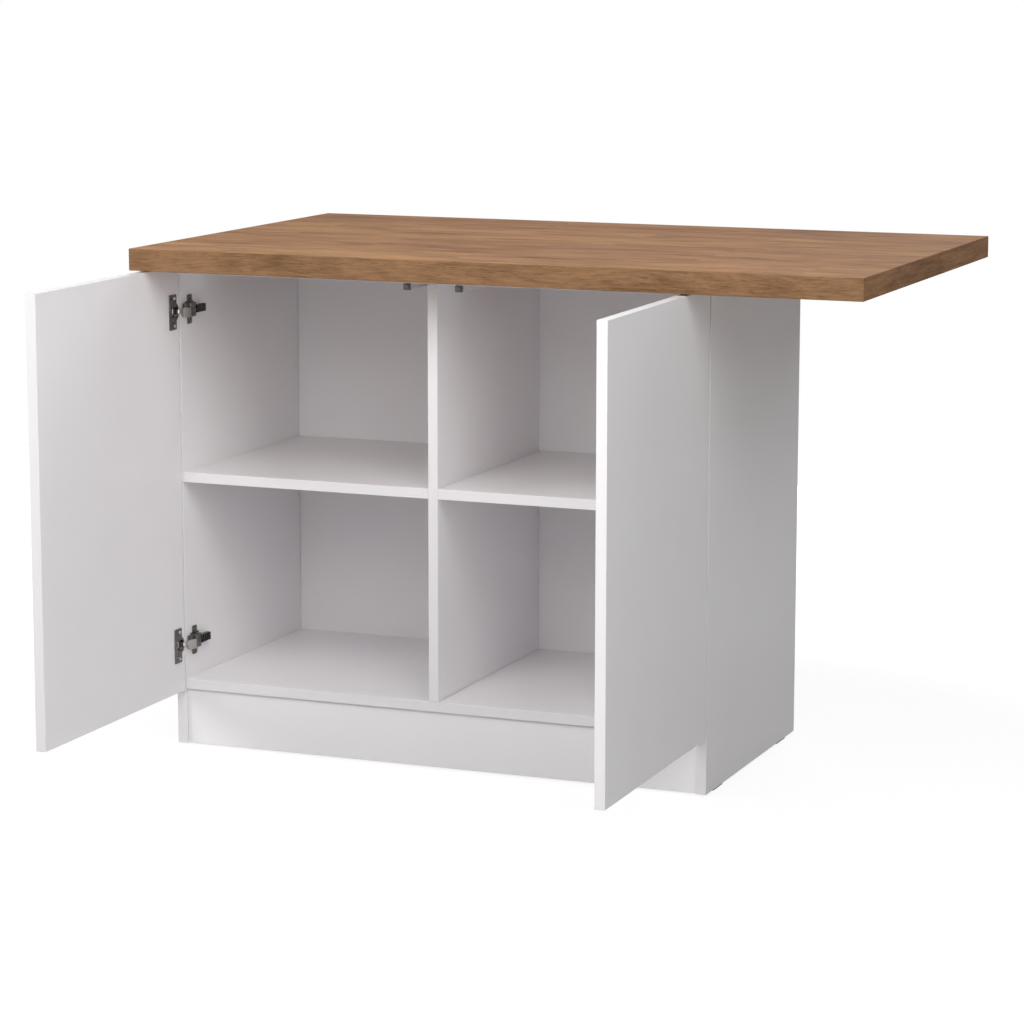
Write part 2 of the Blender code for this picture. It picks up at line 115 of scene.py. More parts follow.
def srgb(code: str) -> tuple[float, float, float, float]:
    """Turn an sRGB hex colour into linear RGBA.

    Args:
        code: the colour, such as "#a0b0c0".

    Returns:
        Linear red, green, blue and an alpha of one.
    """
    parts = [int(code[i : i + 2], 16) / 255 for i in (1, 3, 5)]
    linear = [c / 12.92 if c <= 0.04045 else ((c + 0.055) / 1.055) ** 2.4 for c in parts]
    return (linear[0], linear[1], linear[2], 1.0)


def feed(node: Node, inputs: dict[Any, Any]) -> None:
    """Link sockets to a node's inputs, and set other values on them.

    Args:
        node: the node.
        inputs: sockets and values by the input's name or number.
    """
    for key, value in inputs.items():
        if isinstance(value, bpy.types.NodeSocket):
            node.id_data.links.new(value, node.inputs[key])
        else:
            node.inputs[key].default_value = value


def add_node(tree: NodeTree, kind: str, inputs: dict[Any, Any] | None = None, **settings: Any) -> Outputs:
    """Add a node with its settings and links.

    Args:
        tree: the node tree that gets it.
        kind: Blender's name of the node type, after ShaderNode.
        inputs: what the node's inputs get.
        settings: properties of the node.

    Returns:
        The node's outputs.
    """
    made = tree.nodes.new(f"ShaderNode{kind}")
    for name, value in settings.items():
        setattr(made, name, value)
    feed(made, inputs or {})
    return made.outputs


@dataclass(frozen=True)
class Finish:
    """A surface finish."""

    name: str

    def material(self) -> Material:
        """Give the finish's material, drawn the first time it is asked for.

        Returns:
            The material.
        """
        made = bpy.data.materials.get(self.name)
        if made is None:
            made = bpy.data.materials.new(self.name)
            made.use_nodes = True
            tree = made.node_tree
            feed(tree.nodes["Principled BSDF"], self.draw(partial(add_node, tree)))
        return made

    def draw(self, add: Adder) -> dict[str, Any]:
        """Draw the finish's nodes.

        Args:
            add: adds a node to the material.

        Returns:
            What the shader's inputs get.
        """
        raise NotImplementedError


@dataclass(frozen=True)
class GlossBoard(Finish):
    """Chipboard with a high-gloss acrylic lacquer foil, its rims closed with ABS edging.

    The foil gives clear reflections with the faint ripple of a pressed sheet; the edging is a shade greyer
    and less glossy.
    """

    thin: Axis
    face: str = "#f6f4f5"
    shade: str = "#f2eff1"
    rim_tone: str = "#ece9eb"
    gloss: float = 0.05
    haze: float = 0.1
    edging_roughness: float = 0.28
    ripple: float = 9 * MM
    ripple_height: float = 0.004 * MM
    smear: float = 160 * MM
    ior: float = 1.49
    specular: float = 0.07

    def draw(self, add: Adder) -> dict[str, Any]:
        """Draw foil on the two faces and edging on the rims.

        Args:
            add: adds a node to the material.

        Returns:
            What the shader's inputs get.
        """
        place = add("TexCoord")
        point = place["Object"]
        facing = add("SeparateXYZ", {0: place["Normal"]})[self.thin.value]
        size = add("Math", {0: facing}, operation="ABSOLUTE")[0]
        rim = add("Math", {0: size, 1: FACING}, operation="LESS_THAN")[0]
        smear = {"Vector": point, "Scale": 1 / self.smear, "Detail": 4.0}
        cloud = add("TexNoise", smear)["Fac"]
        face = {0: cloud, 6: srgb(self.face), 7: srgb(self.shade)}
        foil = add("Mix", face, data_type="RGBA")[2]
        board = {0: rim, 6: foil, 7: srgb(self.rim_tone)}
        colour = add("Mix", board, data_type="RGBA")[2]
        polish = {"Value": cloud, **NOISE_SPAN, "To Min": self.gloss, "To Max": self.haze}
        sheen = add("MapRange", polish)[0]
        rough = {0: rim, 2: sheen, 3: self.edging_roughness}
        roughness = add("Mix", rough, data_type="FLOAT")[0]
        ripple = {"Vector": point, "Scale": 1 / self.ripple, "Detail": 1.0}
        wave = add("TexNoise", ripple)["Fac"]
        skin = {"Strength": 1.0, "Distance": self.ripple_height, "Height": wave}
        bump = add("Bump", skin)[0]
        looks = {"Base Color": colour, "Roughness": roughness, "Normal": bump}
        return {**looks, "IOR": self.ior, "Specular IOR Level": self.specular}


@dataclass(frozen=True)
class OakBlock(Finish):
    """Oak-block decor, pressed on board and oiled brown, with matching decor on the rims; the front and back
    rims are painted darker than the top and the ends, which is painted shade.

    Wide planks alternate between tan and reddish brown. Arched growth lines, long fibres, slow dark clouds
    and short pores run along them, and the matt press leaves hardly any sheen. Depths are shares of the dark
    tone; those of three are the least and the most that a pattern gives, then the most on the long rims.
    """

    tan: str = "#c09167"
    red: str = "#b28360"
    late: str = "#5a3b25"
    pore: str = "#4a301f"
    # Tones multiplied into the wood on the top, the rims and the ends; the rims' tone is the darker one and
    # puts painted shade on the front and back rims
    pressed: str = "#ebebea"
    rim_tone: str = "#bfc2c7"
    end_rim_tone: str = "#ececea"
    plank_width: float = 238 * MM
    plank_length: float = 610 * MM
    plank_start: float = 1023 * MM
    column_start: float = 9.0
    rim_column: float = 3.0
    stagger: float = 0.37
    lot: float = 12.0
    lot_spread: float = 40.0
    mottle: float = 0.5
    joint: float = 1.0 * MM
    joint_depth: float = 0.4
    sway: float = 22 * MM
    sway_length: float = 420 * MM
    growth: float = 9 * MM
    growth_depth: float = 0.07
    growth_warp: float = 5.0
    heart_offset: float = 110 * MM
    heart_depth: float = 25 * MM
    heart_lean: float = 0.1
    cloud_length: float = 230 * MM
    cloud_width: float = 52 * MM
    cloud_depth: Point3 = (-0.2, 0.54, 0.3)
    fibre_length: float = 90 * MM
    fibre_width: float = 5 * MM
    fibre_depth: Point3 = (-0.17, 0.35, 0.42)
    fleck_length: float = 34 * MM
    fleck_width: float = 2.2 * MM
    pore_length: float = 14 * MM
    # Real pores are about 0.3 mm wide; drawn coarser, so that they show
    pore_width: float = 1.3 * MM
    pore_span: Point2 = (0.56, 0.74)
    pore_depth: float = 0.45
    pore_relief: float = 0.05 * MM
    middle_height: float = 884 * MM
    roughness: Point2 = (0.52, 0.72)
    specular: float = 0.05

    def draw(self, add: Adder) -> dict[str, Any]:
        """Draw planks, clouds, growth lines, fibres and pores.

        Args:
            add: adds a node to the material.

        Returns:
            What the shader's inputs get.
        """
        place = add("TexCoord")
        x, y, z = add("SeparateXYZ", {0: place["Object"]})
        facing = add("SeparateXYZ", {0: place["Normal"]})
        side = add("Math", {0: facing["X"]}, operation="ABSOLUTE")[0]
        end = add("Math", {0: side, 1: FACING}, operation="GREATER_THAN")[0]
        level = add("Math", {0: facing["Z"]}, operation="ABSOLUTE")[0]
        rim = add("Math", {0: level, 1: FACING}, operation="LESS_THAN")[0]
        long_rim = add("Math", {0: rim, 1: end}, operation="SUBTRACT")[0]
        along = add("Mix", {0: end, 2: x, 3: y}, data_type="FLOAT")[0]
        across = add("Mix", {0: end, 2: y, 3: x}, data_type="FLOAT")[0]

        # Which plank a point is on, and where on it; each rim counts as one plank
        depth = add("Math", {0: across, 1: self.plank_start}, operation="ADD")[0]
        row_at = add("Math", {0: depth, 1: self.plank_width}, operation="DIVIDE")[0]
        row = add("Math", {0: row_at}, operation="FLOOR")[0]
        offset = {0: row, 1: self.stagger, 2: self.column_start}
        shift = add("Math", offset, operation="MULTIPLY_ADD")[0]
        lengths = {0: along, 1: 1 / self.plank_length, 2: shift}
        column_at = add("Math", lengths, operation="MULTIPLY_ADD")[0]
        board = add("Math", {0: column_at}, operation="FLOOR")[0]
        column = add("Mix", {0: rim, 2: board, 3: self.rim_column}, data_type="FLOAT")[0]
        plank = add("CombineXYZ", {0: column, 1: row, 2: rim})[0]
        drawing = {"Vector": plank, "W": self.lot}
        chance = add("TexWhiteNoise", drawing, noise_dimensions="4D")
        draws = add("SeparateColor", {0: chance["Color"]})
        far = {0: chance["Value"], 1: self.lot_spread}
        start = add("Math", far, operation="MULTIPLY")[0]
        part = add("Math", {0: row_at}, operation="FRACT")[0]
        width = {"Value": part, "To Min": -self.plank_width / 2, "To Max": self.plank_width / 2}
        flat = add("MapRange", width)[0]
        high = add("Math", {0: z, 1: self.middle_height}, operation="SUBTRACT")[0]
        aside = add("Mix", {0: rim, 2: flat, 3: high}, data_type="FLOAT")[0]

        # The grain sways slowly along the plank
        lie = add("CombineXYZ", {0: along, 1: aside})[0]
        slow = {0: lie, 1: (1 / self.sway_length, 3 / self.sway_length, 1.0)}
        path = add("VectorMath", slow, operation="MULTIPLY")[0]
        bends = {"Vector": path, "W": start, "Scale": 1.0, "Detail": 3.0}
        wander = add("TexNoise", bends, noise_dimensions="4D")["Fac"]
        reach = {"Value": wander, "To Min": -self.sway, "To Max": self.sway}
        swing = add("MapRange", reach)[0]
        swayed = add("Math", {0: aside, 1: swing}, operation="ADD")[0]
        grain = add("CombineXYZ", {0: along, 1: swayed})[0]
        threads = {0: long_rim, 4: (1 / self.fibre_length, 1 / self.fibre_width, 1.0)}
        threads[5] = (1 / self.fleck_length, 1 / self.fleck_width, 1.0)
        thin = add("Mix", threads, data_type="VECTOR")[1]
        patterns = (
            ((1 / self.cloud_length, 1 / self.cloud_width, 1.0), 3.0),
            (thin, 4.0),
            ((1 / self.pore_length, 1 / self.pore_width, 1.0), 1.0),
        )
        noises = []
        for scale, detail in patterns:
            drawn = add("VectorMath", {0: grain, 1: scale}, operation="MULTIPLY")[0]
            noise = {"Vector": drawn, "W": start, "Scale": 1.0, "Detail": detail, "Roughness": 0.6}
            noises.append(add("TexNoise", noise, noise_dimensions="4D")["Fac"])
        cloud, fibre, vessel = noises

        # Growth lines are rings round a heart that leans out of the plank, so that they arch
        spread = {"Value": draws[0], "To Min": -self.heart_offset, "To Max": self.heart_offset}
        beside = add("MapRange", spread)[0]
        heart = add("Mix", {0: rim, 2: beside, 3: 0.0}, data_type="FLOAT")[0]
        off = add("Math", {0: swayed, 1: heart}, operation="ADD")[0]
        tilt = {"Value": draws[1], "To Min": -self.heart_lean, "To Max": self.heart_lean}
        lean = add("MapRange", tilt)[0]
        sunk = {0: along, 1: lean, 2: self.heart_depth}
        deep = add("Math", sunk, operation="MULTIPLY_ADD")[0]
        spoke = add("CombineXYZ", {0: off, 1: deep})[0]
        radius = add("VectorMath", {0: spoke}, operation="LENGTH")["Value"]
        warp = add("Math", {0: fibre, 1: self.growth_warp}, operation="MULTIPLY")[0]
        turns = {0: radius, 1: math.tau / self.growth, 2: warp}
        phase = add("Math", turns, operation="MULTIPLY_ADD")[0]
        ring = add("Math", {0: phase}, operation="SINE")[0]

        # How dark clouds, fibres and growth lines make a point
        shades = []
        for value, (least, most, on_rim) in ((cloud, self.cloud_depth), (fibre, self.fibre_depth)):
            limit = {"Value": long_rim, "To Min": most, "To Max": on_rim}
            deepest = add("MapRange", limit)[0]
            span = {"Value": value, **NOISE_SPAN, "To Min": least, "To Max": deepest}
            shades.append(add("MapRange", span, clamp=False)[0])
        shade = add("Math", {0: shades[0], 1: shades[1]}, operation="ADD")[0]
        lines = {0: ring, 1: self.growth_depth, 2: shade}
        dark = add("Math", lines, operation="MULTIPLY_ADD", use_clamp=True)[0]

        # Colours: plank tone, then the darker wood, pores and joints, then a tone for the top, the rims and
        # the ends, where the front and back rims' darker tone is painted shade
        other = add("Math", {0: row, 1: 2.0}, operation="MODULO")[0]
        tint = add("Mix", {0: self.mottle, 2: other, 3: draws[2]}, data_type="FLOAT")[0]
        pores = {"Value": vessel, "From Min": self.pore_span[0], "From Max": self.pore_span[1]}
        spot = add("MapRange", {**pores, "To Max": self.pore_depth})[0]
        seam = {"Value": part, "From Max": self.joint / self.plank_width}
        groove = add("MapRange", {**seam, "To Min": self.joint_depth, "To Max": 0.0})[0]
        gap = add("Math", {0: groove, 1: level}, operation="MULTIPLY")[0]
        wood: Any = srgb(self.red)
        for share, tone in ((tint, self.tan), (dark, self.late), (spot, self.pore), (gap, self.pore)):
            blend = {0: share, 6: wood, 7: srgb(tone)}
            wood = add("Mix", blend, data_type="RGBA")[2]
        # Painted shade: the front and back rims get a darker tone than the top and the ends
        face_tone_and_rim_shade: Any = srgb(self.pressed)
        for share, tone in ((rim, self.rim_tone), (end, self.end_rim_tone)):
            blend = {0: share, 6: face_tone_and_rim_shade, 7: srgb(tone)}
            face_tone_and_rim_shade = add("Mix", blend, data_type="RGBA")[2]
        blend = {0: 1.0, 6: wood, 7: face_tone_and_rim_shade}
        colour = add("Mix", blend, data_type="RGBA", blend_type="MULTIPLY")[2]
        press = {"Value": fibre, "To Min": self.roughness[0], "To Max": self.roughness[1]}
        matt = add("MapRange", press)[0]
        relief = {"Strength": 0.5, "Distance": self.pore_relief, "Height": spot}
        bump = add("Bump", relief, invert=True)[0]
        looks = {"Base Color": colour, "Roughness": matt, "Normal": bump}
        return {**looks, "Specular IOR Level": self.specular}


@dataclass(frozen=True)
class PlatedSteel(Finish):
    """Stamped steel under a bright plating: mirror-like, dulled unevenly and faintly scored by the press."""

    colour: str
    worn: str
    smooth: float
    dull: float
    cloud: float = 4 * MM
    score: float = 0.8 * MM
    score_depth: float = 0.01 * MM

    def draw(self, add: Adder) -> dict[str, Any]:
        """Draw clouded plating with fine scoring.

        Args:
            add: adds a node to the material.

        Returns:
            What the shader's inputs get.
        """
        point = add("TexCoord")["Object"]
        clouds = {"Vector": point, "Scale": 1 / self.cloud, "Detail": 3.0}
        wear = add("TexNoise", clouds)["Fac"]
        tones = {0: wear, 6: srgb(self.colour), 7: srgb(self.worn)}
        plating = add("Mix", tones, data_type="RGBA")[2]
        polish = {"Value": wear, **NOISE_SPAN, "To Min": self.smooth, "To Max": self.dull}
        rough = add("MapRange", polish)[0]
        scores = {"Vector": point, "Scale": 1 / self.score, "Detail": 2.0}
        mark = add("TexNoise", scores)["Fac"]
        skin = {"Strength": 0.3, "Distance": self.score_depth, "Height": mark}
        bump = add("Bump", skin)[0]
        return {"Base Color": plating, "Roughness": rough, "Normal": bump, "Metallic": 1.0}


@dataclass(frozen=True)
class MouldedPlastic(Finish):
    """Injection-moulded plastic with a spark-eroded skin: even colour, fine grit, a soft sheen."""

    colour: str
    rubbed: str
    roughness: float
    roughness_spread: float = 0.08
    # The real grit is about 0.1 mm; drawn coarser, so that it shows
    grit: float = 0.6 * MM
    grit_depth: float = 0.02 * MM
    rub: float = 12 * MM

    def draw(self, add: Adder) -> dict[str, Any]:
        """Draw grit and a slightly rubbed tone.

        Args:
            add: adds a node to the material.

        Returns:
            What the shader's inputs get.
        """
        point = add("TexCoord")["Object"]
        grains = {"Vector": point, "Scale": 1 / self.grit, "Detail": 2.0}
        grit = add("TexNoise", grains)["Fac"]
        rubs = {"Vector": point, "Scale": 1 / self.rub, "Detail": 3.0}
        rub = add("TexNoise", rubs)["Fac"]
        tones = {0: rub, 6: srgb(self.colour), 7: srgb(self.rubbed)}
        tone = add("Mix", tones, data_type="RGBA")[2]
        low, high = self.roughness - self.roughness_spread, self.roughness + self.roughness_spread
        rough = add("MapRange", {"Value": rub, "To Min": low, "To Max": high})[0]
        skin = {"Strength": 0.4, "Distance": self.grit_depth, "Height": grit}
        bump = add("Bump", skin)[0]
        return {"Base Color": tone, "Roughness": rough, "Normal": bump}


OAK = OakBlock("oak_block_decor")
BOARD = {axis: GlossBoard(f"gloss_acrylic_board_{axis.value.lower()}", axis) for axis in Axis}
NICKEL = PlatedSteel("dull_nickel_plated_steel", "#86837e", "#6b6863", 0.2, 0.34)
POLISHED = PlatedSteel("polished_nickel_plated_steel", "#d2d0cc", "#bab7b2", 0.1, 0.2)
ZINC = PlatedSteel("zinc_plated_screw_steel", "#d0d2d5", "#b2b5b9", 0.2, 0.34)
BLACKED = PlatedSteel("black_oxide_steel", "#33302e", "#242220", 0.24, 0.4)
GREY_ABS = MouldedPlastic("light_grey_moulded_abs", "#d6d4d4", "#cac8c8", 0.42)
DARK_ACETAL = MouldedPlastic("grey_moulded_acetal", "#858180", "#787474", 0.36)
BLACK_PE = MouldedPlastic("black_moulded_polyethylene", "#1b1b1c", "#262627", 0.48)


def arc(centre: Point2, radius: float, start: float, end: float, steps: int) -> list[Point2]:
    """Points along an arc.

    Args:
        centre: the arc's centre.
        radius: its radius.
        start: first angle in degrees.
        end: last angle in degrees.
        steps: number of chords.

    Returns:
        The points, with both ends.
    """
    angles = [math.radians(start + (end - start) * i / steps) for i in range(steps + 1)]
    return [(centre[0] + radius * math.cos(a), centre[1] + radius * math.sin(a)) for a in angles]


def circle(radius: float, steps: int, centre: Point2 = (0.0, 0.0)) -> list[Point2]:
    """Points round a circle, counter-clockwise."""
    return arc(centre, radius, 0, 360, steps)[:-1]


def rounded(low: Point2, high: Point2, radius: float) -> list[Point2]:
    """Outline of a rectangle with round corners, counter-clockwise.

    Args:
        low: its lowest corner.
        high: its highest corner.
        radius: the corners' radius.

    Returns:
        The outline's points.
    """
    left, bottom, right, top = low[0] + radius, low[1] + radius, high[0] - radius, high[1] - radius
    outline: list[Point2] = []
    for i, centre in enumerate(((right, top), (left, top), (left, bottom), (right, bottom))):
        outline += arc(centre, radius, 90 * i, 90 * i + 90, CORNER_STEPS)
    return outline


def inset(outline: Sequence[Point2], depth: float) -> list[Point2]:
    """Move a counter-clockwise outline inwards, or a clockwise one outwards.

    Args:
        outline: the outline's points.
        depth: how far it moves.

    Returns:
        The moved points, one for each.
    """
    moved: list[Point2] = []
    for i, here in enumerate(outline):
        point, before = Vector(here), Vector(outline[i - 1])
        after = Vector(outline[(i + 1) % len(outline)])
        first, second = (point - before).normalized(), (after - point).normalized()
        lean = Vector((-first.y - second.y, first.x + second.x)) / (1 + first.dot(second))
        moved.append(tuple(point + lean * depth))
    return moved


class Shape:
    """A mesh in the making, in its own axes."""

    def __init__(self) -> None:
        """Start with no geometry."""
        self.mesh = bmesh.new()

    def ring(self, outline: Iterable[Point2], height: float, at: Matrix = Matrix()) -> Verts:
        """Add an outline's points at a height, moved by a matrix."""
        return [self.mesh.verts.new(at @ Vector((u, v, height))) for u, v in outline]

    def bridge(self, *rings: Verts) -> None:
        """Join rings of the same count with quads, each to the next.

        Args:
            rings: the rings, in order.
        """
        for first, second in zip(rings, rings[1:]):
            for i in range(len(first)):
                j = (i + 1) % len(first)
                self.mesh.faces.new((first[i], first[j], second[j], second[i]))

    def fill(self, *rings: Verts) -> None:
        """Fill the area between flat rings with triangles.

        Args:
            rings: the outer ring and those round holes.
        """
        edges = []
        for ring in rings:
            for i, vert in enumerate(ring):
                pair = (ring[i - 1], vert)
                edges.append(self.mesh.edges.get(pair) or self.mesh.edges.new(pair))
        bmesh.ops.triangle_fill(self.mesh, use_beauty=True, edges=edges)

    def turn(self, profile: Sequence[Point2], steps: int, at: Matrix = Matrix()) -> None:
        """Turn a profile round Z.

        Args:
            profile: (radius, height) pairs; the first and last lie on the axis.
            steps: number of facets round.
            at: where the turned form goes.
        """
        rings = [self.ring(circle(radius, steps), height, at) for radius, height in profile[1:-1]]
        self.bridge(*rings)
        for ring, (_, height) in ((rings[0], profile[0]), (rings[-1], profile[-1])):
            tip = self.mesh.verts.new(at @ Vector((0, 0, height)))
            for i, vert in enumerate(ring):
                self.mesh.faces.new((ring[i - 1], vert, tip))

    def prism(
        self,
        outline: Sequence[Point2],
        low: float,
        high: float,
        at: Matrix = Matrix(),
        holes: Sequence[Sequence[Point2]] = (),
        edge: float = 0.0,
    ) -> None:
        """Raise an outline into a solid with chamfered rims.

        Args:
            outline: counter-clockwise points.
            low: height of the lower face.
            high: height of the upper face.
            at: where the solid goes.
            holes: counter-clockwise outlines of holes through it.
            edge: size of the chamfer.
        """
        lower, upper = [], []
        for loop in (outline, *(list(reversed(hole)) for hole in holes)):
            narrow = inset(loop, edge)
            steps = [(narrow, low), (loop, low + edge), (loop, high - edge), (narrow, high)]
            if not edge:
                steps = [(loop, low), (loop, high)]
            rings = [self.ring(points, height, at) for points, height in steps]
            self.bridge(*rings)
            lower.append(rings[0])
            upper.append(rings[-1])
        self.fill(*lower)
        self.fill(*upper)

    def strip(self, line: Sequence[tuple[float, float, float, float]], thickness: float, edge: float) -> None:
        """Sweep an upright strip along a line in the XY plane.

        Args:
            line: (x, y, lower edge, upper edge) of each point on the line.
            thickness: the strip's thickness.
            edge: chamfer of its corners.
        """
        rings = []
        for i, (x, y, low, high) in enumerate(line):
            before, after = line[max(i - 1, 0)], line[min(i + 1, len(line) - 1)]
            way = Vector((after[0] - before[0], after[1] - before[1])).normalized()
            out = thickness / 2
            section = [(out, high - edge), (out - edge, high), (edge - out, high), (-out, high - edge)]
            section += [(-out, low + edge), (edge - out, low), (out - edge, low), (out, low + edge)]
            rings.append([self.mesh.verts.new((x - way.y * u, y + way.x * u, v)) for u, v in section])
        self.bridge(*rings)
        self.fill(rings[0])
        self.fill(rings[-1])

    def crossed_head(self, radius: float, height: float, at: Matrix) -> None:
        """Add a pan head with a cross recess, resting on height zero.

        Args:
            radius: the head's radius.
            height: its height.
            at: where it goes.
        """
        rounds = [(circle(radius * share, SMALL_STEPS), height * rise) for share, rise in PAN_RINGS]
        rings = [self.ring(outline, level, at) for outline, level in rounds]
        self.bridge(*rings)
        self.fill(rings[0])
        reach, half = radius * CROSS_REACH, radius * CROSS_HALF
        quarter = [(reach, -half), (reach, half), (half, half)]
        cross = list(quarter)
        for _ in range(3):
            quarter = [(-v, u) for u, v in quarter]
            cross += quarter
        narrow = [(u * CROSS_TAPER, v * CROSS_TAPER) for u, v in cross]
        brim, floor = self.ring(cross, height, at), self.ring(narrow, height * CROSS_FLOOR, at)
        self.fill(rings[-1], brim)
        self.bridge(brim, floor)
        self.fill(floor)

    def piece(self, name: str, finish: Finish, at: Matrix = Matrix()) -> Piece:
        """Turn the mesh into an object.

        Args:
            name: the object's name.
            finish: its finish.
            at: matrix that moves it to its place.

        Returns:
            The object.
        """
        bmesh.ops.transform(self.mesh, matrix=at, verts=self.mesh.verts)
        bmesh.ops.recalc_face_normals(self.mesh, faces=self.mesh.faces)
        data = bpy.data.meshes.new(name)
        self.mesh.to_mesh(data)
        self.mesh.free()
        data.shade_smooth()
        data.set_sharp_from_angle(angle=SMOOTH_ANGLE)
        data.materials.append(finish.material())
        made = bpy.data.objects.new(name, data)
        bpy.context.scene.collection.objects.link(made)
        return made


def mount(piece: Piece, body: str, slot: str, *nodes: str) -> None:
    """Fix a piece to a body of the frame.

    Args:
        piece: the piece.
        body: the body that it moves with.
        slot: not used.
        nodes: nodes that it stands for.
    """
    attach(piece, body)
    if nodes:
        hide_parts(*nodes)
    log.info("%s rides on %s and stands for %s", piece.name, body, ", ".join(nodes) or "no node")


def dress(node: str, finish: Finish) -> None:
    """Give a node of the frame its finish.

    Args:
        node: the node's name.
        finish: its finish.
    """
    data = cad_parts[node].data
    data.materials.clear()
    data.materials.append(finish.material())
    log.info("%s gets %s", node, finish.name)


@dataclass
class Carcass:
    """Boards and worktop, whose solids already have the right shape."""

    boards: dict[str, Axis]
    top: str = "worktop"

    def build(self) -> None:
        """Give every board and the worktop its finish."""
        dress(self.top, OAK)
        for node, thin in self.boards.items():
            dress(node, BOARD[thin])


